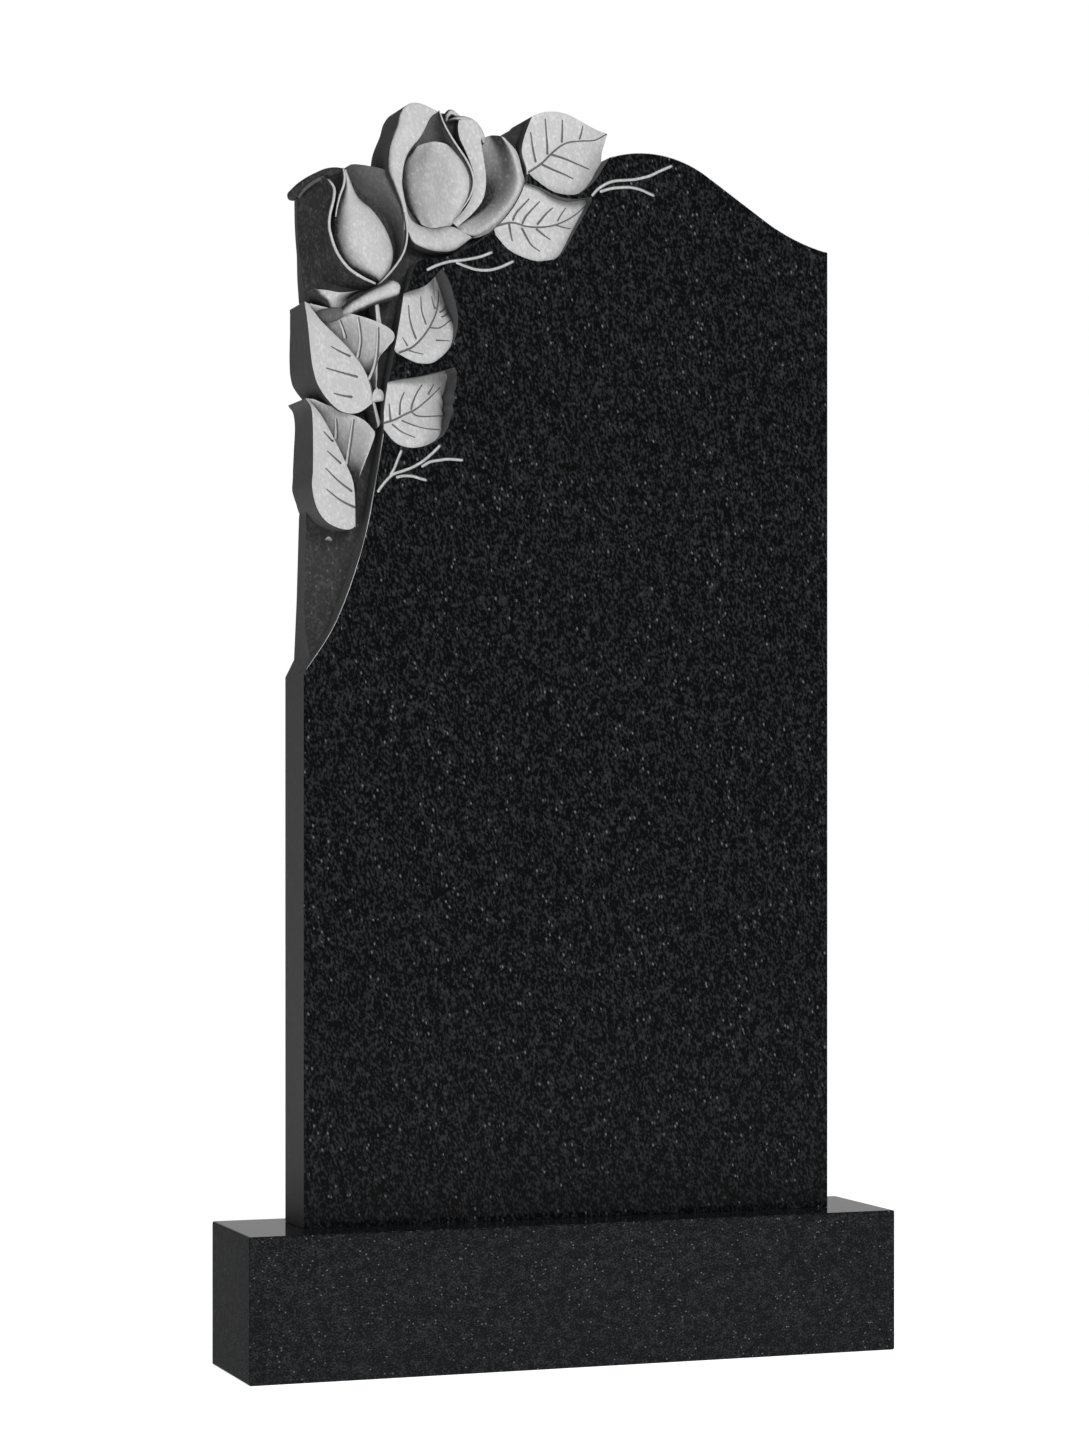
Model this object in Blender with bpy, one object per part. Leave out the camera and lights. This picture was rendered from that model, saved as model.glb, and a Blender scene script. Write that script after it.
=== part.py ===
"""A granite headstone: an upright slab with roses and leaves cut into its top left corner, on a plinth.

It is two stones. The plinth is a plain block. The stele is one slab, sawn to its outline through the whole
thickness. Its upper left corner is cut back to a deep hollow, and petals and leaves rise from that hollow to
the level of the polished face. Beside the hollow four leaves are sunk into the face.

Metres, +Z up, the polished face looks along -Y. The origin is the middle of the plinth's underside. Places on
the stele are written in millimetres as (across, up, behind): across from the slab's left side, up from its
foot, and behind its polished face.
"""
import math

import bmesh
import bpy
from mathutils import Vector

# The plinth
PLINTH_WIDTH = 0.730
PLINTH_DEPTH = 0.155
PLINTH_HEIGHT = 0.153
PLINTH_ARRIS = 0.002

# The slab
SLAB_WIDTH = 0.600
SLAB_THICKNESS = 0.072
SLAB_LEFT = -0.2926          # its left side, a little off the plinth's middle
SLAB_FACE = -0.0255          # its polished face
JOINT = 0.0003               # the bed between the two stones

MM = 0.001
WIDE = SLAB_WIDTH / MM

# The curved top, from its right corner: a hollow arc, a straight slope, an arc over the crest
CORNER_UP = 1055
HOLLOW_RADIUS = 225
CREST_RADIUS = 130
CREST = (386, 1151)
SLOPE = math.radians(33)
CORNER_SLOPE = math.radians(12)
CREST_LEFT = math.radians(20)

# A swelling's section: below 1 it is rounder than a sine, towards half an ellipse
ROUNDNESS = 0.65

# A carved surface is drawn out this far to make a solid: forwards for a cutter, backwards for raised work
DRAW = 90

# The slab is drawn past its back too, before the back is cut level
PAST_BACK = 4

# Facets along and across each kind of surface
HOLLOW_FACETS = (44, 4)
LEAF_FACETS = (16, 6)
PETAL_FACETS = (14, 6)
LEAF_SWELL = 1.5


def place(across, up, behind):
    """A point of the stele, from millimetres on the slab to metres in the frame."""
    return Vector((SLAB_LEFT + across * MM, SLAB_FACE + behind * MM, PLINTH_HEIGHT + up * MM))


def blend(a, b, c, d, f):
    """The point a fraction f of the way from b to c on the smooth curve through a, b, c and d."""
    return (b * 2 + (c - a) * f + (a * 2 - b * 5 + c * 4 - d) * f * f
            + (b * 3 - a - c * 3 + d) * f ** 3) / 2


def curve(points):
    """A smooth curve through a few points, as a function of 0 to 1 along its length."""
    knots = [Vector(p) for p in points]
    spans = [(b - a).length for a, b in zip(knots, knots[1:])]
    knots = [knots[0] * 2 - knots[1]] + knots + [knots[-1] * 2 - knots[-2]]

    def at(t):
        gone = t * sum(spans)
        k = 0
        while k < len(spans) - 1 and gone > spans[k]:
            gone -= spans[k]
            k += 1
        return blend(*knots[k:k + 4], min(gone / spans[k], 1))
    return at


def sheet(lines, swell=0):
    """A surface stretched from line to line, as a function of (along, over), both 0 to 1.

    swell lifts the middle of each strip between two lines towards the viewer, in millimetres, and dies
    away at the strip's two ends.
    """
    rails = [curve(line) for line in lines]
    strips = len(rails) - 1

    def at(along, over):
        k = min(int(over * strips), strips - 1)
        f = over * strips - k
        across, up, behind = rails[k](along).lerp(rails[k + 1](along), f)
        lift = swell * abs(math.sin(math.pi * f) * math.sin(math.pi * along)) ** ROUNDNESS
        return across, up, behind - lift
    return at


def drawn(name, surface, facets, draw):
    """A closed solid: a sheet of so many facets, drawn out square to the slab, backwards if draw is positive."""
    bm = bmesh.new()
    bmesh.ops.create_grid(bm, x_segments=facets[0], y_segments=facets[1], size=0.5)
    for vert in bm.verts:
        vert.co = place(*surface(vert.co.x + 0.5, vert.co.y + 0.5))
    for item in bmesh.ops.extrude_face_region(bm, geom=bm.faces[:])["geom"]:
        if isinstance(item, bmesh.types.BMVert):
            item.co.y += draw * MM
    bmesh.ops.remove_doubles(bm, verts=bm.verts, dist=1e-6)
    bmesh.ops.triangulate(bm, faces=bm.faces)
    bmesh.ops.recalc_face_normals(bm, faces=bm.faces)
    return finished(name, bm)


def finished(name, bm):
    """The object that holds a finished bmesh."""
    mesh = bpy.data.meshes.new(name)
    bm.to_mesh(mesh)
    bm.free()
    thing = bpy.data.objects.new(name, mesh)
    bpy.context.collection.objects.link(thing)
    return thing


def arc(centre, radius, start, end, steps):
    """Points on an arc, whose angles are measured clockwise from straight up."""
    angles = [start + (end - start) * k / steps for k in range(steps + 1)]
    return [(centre[0] + radius * math.sin(a), centre[1] + radius * math.cos(a)) for a in angles]


def top_edge():
    """The curved top from the slab's right corner to the start of the carving."""
    hollow_centre = (WIDE + HOLLOW_RADIUS * math.sin(CORNER_SLOPE),
                     CORNER_UP + HOLLOW_RADIUS * math.cos(CORNER_SLOPE))
    hollow = arc(hollow_centre, -HOLLOW_RADIUS, CORNER_SLOPE, SLOPE, 6)
    crest = arc((CREST[0], CREST[1] - CREST_RADIUS), CREST_RADIUS, SLOPE, -CREST_LEFT, 10)
    return hollow + crest


def sawn_slab():
    """The slab sawn to its outline, before any carving. Its left side steps in at the hollow."""
    beside_leaf = [(342, 1153), (346, 1165), (349, 1174)]
    over_leaf = [curve([(349, 1174), (332, 1177), (296, 1189), (275, 1190), (257, 1184), (249, 1174)])(k / 12)
                 for k in range(1, 12)]
    behind_roses = [(243, 1174), (225, 1171), (205, 1150), (190, 1160), (150, 1165), (120, 1150), (106, 1120),
                    (60, 1105), (25, 1080), (20, 1000), (18, 870), (17, 770)]
    left_side = [(15, 750), (12.5, 663), (9.6, 599), (0, 580)]
    outline = [(0, 0), (WIDE, 0)] + top_edge() + beside_leaf + over_leaf + behind_roses + left_side
    bm = bmesh.new()
    front = bm.faces.new([bm.verts.new(place(p[0], p[1], 0)) for p in outline])
    for item in bmesh.ops.extrude_face_region(bm, geom=[front])["geom"]:
        if isinstance(item, bmesh.types.BMVert):
            item.co.y = SLAB_FACE + SLAB_THICKNESS + PAST_BACK * MM
    for vert in bm.verts:
        if vert.co.z < PLINTH_HEIGHT + JOINT:
            vert.co.z = PLINTH_HEIGHT + JOINT
    bmesh.ops.recalc_face_normals(bm, faces=bm.faces)
    return finished("stele", bm)


def hollow():
    """The cutter of the deep hollow, from the polished face's edge out past the sawn outline."""
    face_edge = [(0, 582, -1), (26, 620, 18), (41, 650, 26), (56, 690, 27), (70, 740, 27), (87, 835, 27),
                 (89, 866, 27), (100, 925, 27), (112, 983, 27), (121, 1012, 27), (131, 1022, 27),
                 (160, 1027, 27), (197, 1047, 27), (231, 1080, 27), (250, 1119, 27), (244, 1150, 27),
                 (262, 1200, 27)]
    outside = [(-15, 590, 0), (-15, 625, 45), (-15, 700, 55), (-15, 900, 50), (-15, 1100, 45), (20, 1220, 40),
               (150, 1230, 35), (250, 1230, 30)]
    return drawn("hollow", sheet([face_edge, outside]), HOLLOW_FACETS, -DRAW)


# Each leaf is two halves that meet at its midrib: its left edge, its midrib and its right edge, stalk to tip
SUNK_LEAVES = {
    "top leaf": (
        [(242, 1126, 8), (239, 1149, 5), (243, 1174, 5), (256, 1192, 5), (277, 1196, 6), (297, 1194, 8),
         (332, 1182, 18), (356, 1180, 25)],
        [(250, 1121, 8), (271, 1137, 8), (287, 1152, 10), (305, 1161, 13), (327, 1166, 18), (354, 1177, 25)],
        [(255, 1116, 8), (275, 1104, 6), (291, 1100.5, 8), (308, 1103, 10), (325, 1117, 18), (335, 1132, 22),
         (346, 1150, 25), (352, 1174, 25)]),
    "second leaf": (
        [(210, 1062, 2), (227, 1083, 3), (236, 1094, 4), (243, 1109, 6), (262, 1106.5, 8), (280, 1099, 12),
         (300, 1096, 16), (321, 1099.5, 17)],
        [(211, 1057, 3), (241, 1065, 5), (264, 1065, 7), (283, 1069, 10), (305, 1080, 14), (322, 1097.5, 18)],
        [(212.5, 1052, 2), (228, 1037, 2), (252, 1028, 2), (268, 1028, 3), (286, 1035, 7), (305, 1066, 13),
         (322, 1095, 17)]),
    "third leaf": (
        [(97, 930, 1), (102, 957, 3), (109, 983, 8), (134, 994.5, 20), (151.5, 1013, 31)],
        [(99, 926, 2.5), (117, 927, 4), (136, 944, 12), (153, 976, 28), (155, 997, 36), (153.5, 1011, 34)],
        [(101, 922, 1), (118, 914, 1), (130, 911.5, 1), (145, 914.5, 2), (163, 932, 5), (170, 955, 16),
         (168, 975, 32), (161, 998, 36), (155.5, 1009, 33)]),
    "fourth leaf": (
        [(83, 853, 1), (85, 873, 2), (91, 889.5, 4), (130, 898.5, 18), (166, 909, 32)],
        [(84, 848, 2.5), (101, 851, 4), (121, 862, 11), (138, 872, 19), (156, 889, 32), (167.5, 907, 34)],
        [(86, 842, 1), (100, 827, 1), (116, 822, 1), (133, 824.5, 3), (157, 840, 20), (164, 866, 36),
         (167, 885, 42), (169, 904, 34)]),
}
RAISED_LEAVES = {
    "left leaf": (
        [(3, 972, 8), (5, 950, 3), (11, 901, 3), (21, 877, 3), (40, 859, 4), (60, 857, 5), (79, 869, 10)],
        [(7, 970.5, 12), (23, 951, 12), (53, 923, 12), (73, 895, 12), (80.5, 870, 13)],
        [(12, 971, 14), (48, 963, 8), (76, 956, 5), (100, 940, 4), (94, 928, 7), (84, 915, 8), (83, 896, 9),
         (82, 872, 12)]),
    "lower left leaf": (
        [(3, 870, 4), (10, 855, 3), (11, 800, 3), (10, 778, 3), (15, 756, 3), (26, 741, 4), (44, 734, 5),
         (57, 740, 8)],
        [(8, 870.5, 10), (23, 851, 11), (36, 828, 11), (49, 802, 11), (57, 779, 11), (58.5, 742, 9)],
        [(14, 871, 14), (59, 853, 9), (79, 837, 4), (75, 821, 6), (61, 780, 9), (60, 744, 9)]),
}
# Each petal is stretched over two or three lines, and swells towards the viewer or is dished away from them
PETALS = {
    "calyx": (6, [(16, 1012, 44), (38, 994, 28), (78, 992, 22)],
              [(18, 974, 44), (40, 964, 28), (72, 970, 22)]),
    "left outer petal": (10, [(25, 1106, 12), (34, 1085, 5), (28, 1052, 3), (50, 1008, 3), (81, 994, 8)],
                         [(8, 1092, 62), (10, 1055, 66), (14, 1010, 66), (35, 991, 40), (79, 989, 18)]),
    "curled lip": (10, [(37, 1118, 18), (12, 1109, 50), (0, 1098, 66)],
                   [(27, 1104, 16), (11, 1089, 46), (7, 1083, 66)]),
    "right outer petal": (0, [(47, 1112, 24), (62, 1090, 29), (88, 1062, 30), (99, 1032, 28), (87, 999, 20)],
                          [(68, 1124, 25), (82, 1098, 24), (103, 1064, 19), (109, 1028, 16), (86, 996, 15)],
                          [(98, 1118, 13), (104, 1094, 7), (113, 1062, 2), (113, 1030, 2), (98, 1007, 4),
                           (85, 992, 10)]),
    "small bud": (14, [(34, 1112, 16), (32, 1083, 15), (26.5, 1055, 14), (35, 1024, 14), (51, 1005, 14),
                       (82, 995, 17)],
                  [(50, 1115, 16), (73, 1084, 20), (102, 1044, 20), (103, 1014, 20), (85, 995.5, 17)]),
    "tall left petal": (9, [(111, 1050, 10), (102, 1092, 12), (95, 1122, 11), (105, 1163, 11), (125, 1190, 13),
                            (148, 1185, 16)],
                        [(118, 1050, 10), (113, 1090, 14), (111, 1122, 15), (130, 1154, 20), (143, 1177, 20),
                         (150, 1181, 18)]),
    "bud wrapping": (-5, [(146, 1182, 16), (116, 1138, 26), (108, 1100, 26), (122, 1060, 24), (158, 1052, 16)],
                     [(153.5, 1183, 8), (169, 1150, 4), (189, 1110, 2), (181, 1082, 3), (162, 1057, 10)]),
    "large bud": (18, [(152, 1156, 24), (119, 1133, 20), (112, 1100, 18), (125, 1067, 18), (149, 1057, 18)],
                  [(157, 1156, 24), (182, 1134, 20), (189, 1104, 20), (176, 1074, 20), (153, 1057.5, 18)]),
    "crescent petal": (5, [(151, 1178, 14), (165, 1148, 10), (184, 1110, 9), (177, 1084, 10), (158, 1060, 15)],
                       [(186, 1181, 14), (204, 1159, 13), (199, 1135, 12), (202, 1106, 12), (190, 1075, 12),
                        (165, 1055, 16)]),
    "dished petal": (-3, [(199, 1156, 24), (195, 1132, 29), (197, 1106, 30), (185, 1076, 28), (162, 1059, 20)],
                     [(232, 1160, 14), (241, 1138, 4), (242, 1110, 3), (224, 1077, 4), (168, 1055, 13)],
                     [(239, 1155, 16), (246, 1138, 11), (248, 1110, 11), (231, 1077, 11), (196, 1051, 13),
                      (170, 1052, 16)]),
    "lower petal": (10, [(119, 1077, 20), (148, 1063, 22), (170, 1063, 20), (193, 1051, 15)],
                    [(113, 1054, 10), (133, 1035, 13), (160, 1032, 13), (191, 1047, 14)]),
    "sepal": (3, [(13, 987, 14), (41, 983, 9), (63, 985, 10)],
              [(14.5, 984, 14), (29, 973, 12), (57, 973, 12)]),
    "hip": (8, [(15, 968, 16), (36, 966, 11), (51, 974, 9), (68, 983, 8), (90, 994, 7), (106, 1000, 10)],
            [(16, 955, 16), (26, 951, 13), (47, 957, 11), (73, 969, 10), (96, 977, 10), (111, 987, 12)]),
    "upper stem": (2, [(78, 976, 16), (82, 945, 16)], [(84, 976, 8), (89, 945, 8)]),
    "lower stem": (2, [(71, 876, 18), (80, 840, 18)], [(80, 876, 8), (89, 845, 10)]),
}


def sunk_leaves():
    """The cutters of the four leaves that are sunk into the polished face."""
    return [drawn(name, sheet(lines, LEAF_SWELL), LEAF_FACETS, -DRAW) for name, lines in SUNK_LEAVES.items()]


def raised_work():
    """The petals and leaves that stand up from the hollow, each drawn out past the slab's back."""
    surfaces = [(name, sheet(lines, LEAF_SWELL), LEAF_FACETS) for name, lines in RAISED_LEAVES.items()]
    surfaces += [(name, sheet(lines, swell), PETAL_FACETS) for name, (swell, *lines) in PETALS.items()]
    return [drawn(name, surface, facets, DRAW) for name, surface, facets in surfaces]


def behind_the_back():
    """A block, well larger than the slab, whose front is the plane of the slab's back."""
    bpy.ops.mesh.primitive_cube_add(size=2, location=(0, SLAB_FACE + SLAB_THICKNESS + 1, CORNER_UP * MM))
    block = bpy.context.object
    block.name = "behind the back"
    return block


def carve(slab, name, operation, tools):
    """Cut a group of tools from the slab, or join them to it, and keep them out of the finished model."""
    group = bpy.data.collections.new(name)
    bpy.context.scene.collection.children.link(group)
    for tool in tools:
        bpy.context.collection.objects.unlink(tool)
        group.objects.link(tool)
        tool.hide_render = True
        tool.display_type = "WIRE"
    modifier = slab.modifiers.new(name, "BOOLEAN")
    modifier.operation = operation
    modifier.operand_type = "COLLECTION"
    modifier.collection = group
    modifier.solver = "EXACT"


def stone(name, colour, roughness):
    """A granite finish."""
    material = bpy.data.materials.new(name)
    material.use_nodes = True
    shader = material.node_tree.nodes["Principled BSDF"]
    shader.inputs["Base Color"].default_value = (*colour, 1)
    shader.inputs["Roughness"].default_value = roughness
    shader.inputs["Metallic"].default_value = 0
    return material


def stele():
    """The upright stone, with its carving."""
    slab = sawn_slab()
    slab.data.materials.append(stone("granite of the stele", (0.02, 0.02, 0.022), 0.15))
    carve(slab, "cut back", "DIFFERENCE", [hollow()])
    for leaf in sunk_leaves():
        carve(slab, leaf.name, "DIFFERENCE", [leaf])
    carve(slab, "raised work", "UNION", raised_work())
    carve(slab, "level back", "DIFFERENCE", [behind_the_back()])
    return slab


def plinth():
    """The block at the foot, with its arrises taken off."""
    bpy.ops.mesh.primitive_cube_add(size=1, location=(0, 0, PLINTH_HEIGHT / 2))
    block = bpy.context.object
    block.name = "plinth"
    block.scale = (PLINTH_WIDTH, PLINTH_DEPTH, PLINTH_HEIGHT)
    bpy.ops.object.transform_apply(location=False, rotation=False, scale=True)
    bevel = block.modifiers.new("arris", "BEVEL")
    bevel.width = PLINTH_ARRIS
    bevel.segments = 2
    block.data.materials.append(stone("granite of the plinth", (0.03, 0.03, 0.03), 0.2))
    return block


for leftover in list(bpy.data.objects):
    bpy.data.objects.remove(leftover)
plinth()
stele()
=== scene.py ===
import math

import bmesh
import bpy
import numpy as np
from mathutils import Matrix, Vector


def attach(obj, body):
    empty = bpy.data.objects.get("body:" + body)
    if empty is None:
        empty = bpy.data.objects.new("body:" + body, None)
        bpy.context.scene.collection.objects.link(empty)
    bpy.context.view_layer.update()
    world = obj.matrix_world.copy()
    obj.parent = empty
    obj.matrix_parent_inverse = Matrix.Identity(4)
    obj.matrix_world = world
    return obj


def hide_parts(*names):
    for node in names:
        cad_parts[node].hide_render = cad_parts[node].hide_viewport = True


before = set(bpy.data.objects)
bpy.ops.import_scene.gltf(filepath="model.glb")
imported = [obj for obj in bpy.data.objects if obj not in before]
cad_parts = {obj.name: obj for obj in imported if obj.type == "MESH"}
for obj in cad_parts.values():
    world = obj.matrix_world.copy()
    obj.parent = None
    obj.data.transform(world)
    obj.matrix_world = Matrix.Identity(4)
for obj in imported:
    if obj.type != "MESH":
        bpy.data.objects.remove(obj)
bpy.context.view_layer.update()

# The stele's drawing. Places are millimetres (across, up, behind): across from the slab's left side, up from
# its foot, and behind its polished face.
MM = 0.001
PLINTH_HEIGHT = 0.153
SLAB_LEFT = -0.2926
SLAB_FACE = -0.0255
SLAB_WIDTH = 600
SLAB_THICKNESS = 72
# The bed between the two stones
JOINT = 0.3
# The slab is sawn this much too thick, and its surfaces are drawn out this far to pass its back
PAST_BACK = 4
DRAW = 90

# The curved top: a dip from the right corner, a straight slope, an arc over the crest
CORNER_UP = 1055
DIP_RADIUS = 225
CREST_RADIUS = 130
CREST = (386, 1151)
SLOPE = math.radians(33)
CORNER_SLOPE = math.radians(12)
CREST_LEFT = math.radians(20)
DIP_STEPS = 24
CREST_STEPS = 40
OVER_LEAF_STEPS = 36
BEHIND_ROSES_STEPS = 60

# The camera: its place in metres, its turn to the right, its sensor and lens, and how far it is shifted up
CAMERA = (-1.279, -3.511, 0.583)
CAMERA_TURN = math.radians(-19.79)
SENSOR = 36
LENS = 86.03
SHIFT_UP = 0.0662
# The camera's place on the stele's drawing. Fine lines are drawn as they show from here against the face.
EYE = np.array([CAMERA[0] - SLAB_LEFT, CAMERA[2] - PLINTH_HEIGHT, CAMERA[1] - SLAB_FACE]).round(4) / MM

# Facets of each surface, along it and over it, and the steps of the grid on which lines are traced over it
LEAF_FACETS = (60, 42)
PETAL_FACETS = (52, 30)
HOLLOW_FACETS = (180, 12)
TRACE = (90, 60)
# How full a swell is: 1 is a sine, and less is rounder
ROUNDNESS = 0.65
LEAF_SWELL = 1.5
# Edges sharper than this stay sharp
CREASE = math.radians(45)

# Round bars: rings for each span between two points, the rings of each round end, and their step in radii
SPAN_RINGS = 5
END_RINGS = 2
END_STEP = 0.45
# A bar's heading is taken this far to either side of each ring, as a share of its length
LOOK = 0.02

# Veins: radii of their grooves, how far beside a raised leaf's deep vein its groove runs, how many spans a
# vein has, and how much of its radius it loses with each
MIDRIB = 1.3
DEEP_VEIN = 1.5
RAISED_FAINT_VEIN = 1.4
SUNK_FAINT_VEIN = 1.1
BESIDE = 1.9
VEIN_SPANS = 6
THINNING = 0.08

# The side that the carving is painted light towards, with painted shade on what turns away from it, and the
# cold tinge of the polished faces
PAINTED_LIGHT_FROM = Vector((0.30, -0.94, 0.12))
LESS_RED = 0.93
MORE_BLUE = 1.1

# Finishes of the stele, in the order of its material slots. The carving's finish paints shade by facing, the
# groove's darker grey is painted shade, and the hollow's and the cut walls' greys also serve as painted shade
# on some petals.
POLISHED, SAWN, FROSTED_WITH_PAINTED_SHADE, SCOOPED_AND_PAINTED_SHADE, CUT_AND_PAINTED_SHADE, BLASTED, GROOVE_PAINTED_SHADE = range(7)


def place(across, up, behind):
    """A point of the stele, from millimetres on the slab to metres in the frame."""
    return Vector((SLAB_LEFT + across * MM, SLAB_FACE + behind * MM, PLINTH_HEIGHT + up * MM))


def as_drawn(spots):
    """Where places of the stele show against the polished face from the camera's place."""
    reach = EYE[2] / (EYE[2] - spots[:, 2:3])
    return EYE[:2] + (spots[:, :2] - EYE[:2]) * reach


def as_placed(line):
    """The places on the stele of a line drawn against the polished face, from its depths behind it."""
    spots = np.array(line, float)
    reach = (spots[:, 2:3] - EYE[2]) / -EYE[2]
    return np.hstack([EYE[:2] + (spots[:, :2] - EYE[:2]) * reach, spots[:, 2:3]])


def blend(a, b, c, d, f):
    """The point a fraction f of the way from b to c on the smooth curve through a, b, c and d."""
    return (b * 2 + (c - a) * f + (a * 2 - b * 5 + c * 4 - d) * f * f
            + (b * 3 - a - c * 3 + d) * f ** 3) / 2


def curve(points):
    """A smooth curve through a few points, as a function of 0 to 1 along its length."""
    knots = [np.array(p, float) for p in points]
    spans = [float(np.linalg.norm(b - a)) for a, b in zip(knots, knots[1:])]
    knots = [knots[0] * 2 - knots[1]] + knots + [knots[-1] * 2 - knots[-2]]

    def at(t):
        gone = t * sum(spans)
        k = 0
        while k < len(spans) - 1 and gone > spans[k]:
            gone -= spans[k]
            k += 1
        return blend(*knots[k:k + 4], min(gone / spans[k], 1))
    return at


def petal(lines, swell=0):
    """A smooth surface over lines drawn against the polished face, as a function of many (along, over)."""
    rails = [curve(as_placed(line)) for line in lines]

    def at(parts):
        spots = np.zeros((len(parts), 3))
        for along in np.unique(parts[:, 0]):
            row = parts[:, 0] == along
            across = curve([rail(along) for rail in rails])
            spots[row] = [across(over) for over in parts[row, 1]]
        spots[:, 2] -= swell * np.abs(np.sin(np.pi * parts[:, 1]) * np.sin(np.pi * parts[:, 0])) ** ROUNDNESS
        return spots
    return at


def sheet(lines, swell=0):
    """A surface stretched from line to line, as a function of many (along, over), both 0 to 1.

    swell lifts the middle of each strip between two lines towards the viewer, in millimetres, and dies
    away at the strip's two ends.
    """
    rails = [curve(line) for line in lines]
    strips = len(rails) - 1

    def at(parts):
        stations = {along: np.array([rail(along) for rail in rails]) for along in np.unique(parts[:, 0])}
        at_rails = np.array([stations[along] for along in parts[:, 0]])
        k = np.minimum((parts[:, 1] * strips).astype(int), strips - 1)
        f = parts[:, 1] * strips - k
        row = np.arange(len(parts))
        spots = at_rails[row, k] * (1 - f)[:, None] + at_rails[row, k + 1] * f[:, None]
        spots[:, 2] -= swell * np.abs(np.sin(np.pi * f) * np.sin(np.pi * parts[:, 0])) ** ROUNDNESS
        return spots
    return at


def on_surface(surface, drawn):
    """The places of a surface that show at drawn places, from its nearest points on a fine grid."""
    along, over = TRACE
    spots = surface(np.array([(i / along, j / over) for i in range(along + 1) for j in range(over + 1)]))
    shown = as_drawn(spots)
    nearest = 4
    blur = 0.05
    found = []
    for spot in drawn:
        away = np.linalg.norm(shown - spot, axis=1)
        near = np.argsort(away)[:nearest]
        weight = 1 / (away[near] + blur)
        depth = (spots[near, 2] * weight).sum() / weight.sum()
        found.append(as_placed([(*spot, depth)])[0])
    return found


def drawn_out(name, surface, facets, draw, finish, sides=SAWN, flare=((0, 0),)):
    """A closed solid: a sheet of so many facets, drawn out square to the slab, backwards if draw is positive.

    flare moves its drawn-out end across, by pairs of (up, millimetres).
    """
    bm = bmesh.new()
    bmesh.ops.create_grid(bm, x_segments=facets[0], y_segments=facets[1], size=0.5)
    parts = np.array([(vert.co.x + 0.5, vert.co.y + 0.5) for vert in bm.verts]).round(6)
    for vert, spot in zip(bm.verts, surface(parts)):
        vert.co = place(*spot)
    carved = set(bm.faces)
    for item in bmesh.ops.extrude_face_region(bm, geom=bm.faces[:])["geom"]:
        if isinstance(item, bmesh.types.BMVert):
            up = (item.co.z - PLINTH_HEIGHT) / MM
            item.co.x += np.interp(up, [pair[0] for pair in flare], [pair[1] for pair in flare]) * MM
            item.co.y += draw * MM
    for face in bm.faces:
        face.material_index = finish if face in carved else sides
    bmesh.ops.remove_doubles(bm, verts=bm.verts, dist=1e-6)
    bmesh.ops.triangulate(bm, faces=bm.faces)
    bmesh.ops.recalc_face_normals(bm, faces=bm.faces)
    return finished(name, bm)


def finished(name, bm):
    """The object made from a bmesh, which is freed."""
    mesh = bpy.data.meshes.new(name)
    bm.to_mesh(mesh)
    bm.free()
    thing = bpy.data.objects.new(name, mesh)
    bpy.context.scene.collection.objects.link(thing)
    return thing


def arc(centre, radius, start, end, steps):
    """Points on an arc, whose angles are measured clockwise from straight up."""
    angles = [start + (end - start) * k / steps for k in range(steps + 1)]
    return [(centre[0] + radius * math.sin(a), centre[1] + radius * math.cos(a)) for a in angles]


def top_edge():
    """The curved top from the slab's right corner to the start of the carving."""
    dip_centre = (SLAB_WIDTH + DIP_RADIUS * math.sin(CORNER_SLOPE),
                  CORNER_UP + DIP_RADIUS * math.cos(CORNER_SLOPE))
    dip = arc(dip_centre, -DIP_RADIUS, CORNER_SLOPE, SLOPE, DIP_STEPS)
    crest = arc((CREST[0], CREST[1] - CREST_RADIUS), CREST_RADIUS, SLOPE, -CREST_LEFT, CREST_STEPS)
    return dip + crest


def sawn_slab():
    """The slab sawn to its outline, before any carving. Its left side steps in at the hollow."""
    beside_leaf = [(342, 1153), (346, 1165), (349, 1174)]
    over_leaf = curve([(349, 1174), (332, 1177), (296, 1188.6), (275, 1189.6), (257, 1184), (249, 1174)])
    behind_roses = curve([(243, 1174), (235, 1164), (225, 1160), (212, 1157), (190, 1158), (150, 1165),
                          (120, 1150), (106, 1120), (60, 1105), (25, 1080), (20, 1000), (18, 870), (17, 770)])
    left_side = [(15, 750), (12.5, 663), (9.6, 599), (0, 580)]
    outline = ([(0, JOINT), (SLAB_WIDTH, JOINT)] + top_edge() + beside_leaf
               + [over_leaf(k / OVER_LEAF_STEPS) for k in range(1, OVER_LEAF_STEPS)]
               + [behind_roses(k / BEHIND_ROSES_STEPS) for k in range(BEHIND_ROSES_STEPS + 1)] + left_side)
    bm = bmesh.new()
    front = bm.faces.new([bm.verts.new(place(p[0], p[1], 0)) for p in outline])
    back = bmesh.ops.extrude_face_region(bm, geom=[front])["geom"]
    for item in back:
        if isinstance(item, bmesh.types.BMVert):
            item.co.y = SLAB_FACE + (SLAB_THICKNESS + PAST_BACK) * MM
    for face in bm.faces:
        face.material_index = SAWN
    front.material_index = POLISHED
    bmesh.ops.recalc_face_normals(bm, faces=bm.faces)
    return finished("carved_stele", bm)


def hollow():
    """The cutter of the deep hollow, from the polished face's edge out past the sawn outline."""
    face_edge = [(0, 582, -1), (26, 620, 18), (41, 650, 26), (56, 690, 27), (70, 740, 27), (87, 835, 27),
                 (89, 866, 27), (100, 925, 27), (112, 983, 27), (121, 1012, 27), (131, 1022, 27),
                 (160, 1027, 27), (197, 1047, 27), (231, 1080, 27), (250, 1119, 27), (244, 1150, 27),
                 (262, 1200, 27)]
    outside = [(-15, 590, 0), (-15, 625, 45), (-15, 700, 55), (-15, 900, 50), (-15, 1100, 45), (20, 1220, 40),
               (150, 1230, 35), (250, 1230, 30)]
    return drawn_out("hollow", sheet([face_edge, outside]), HOLLOW_FACETS, -DRAW, SCOOPED_AND_PAINTED_SHADE, CUT_AND_PAINTED_SHADE)


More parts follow.
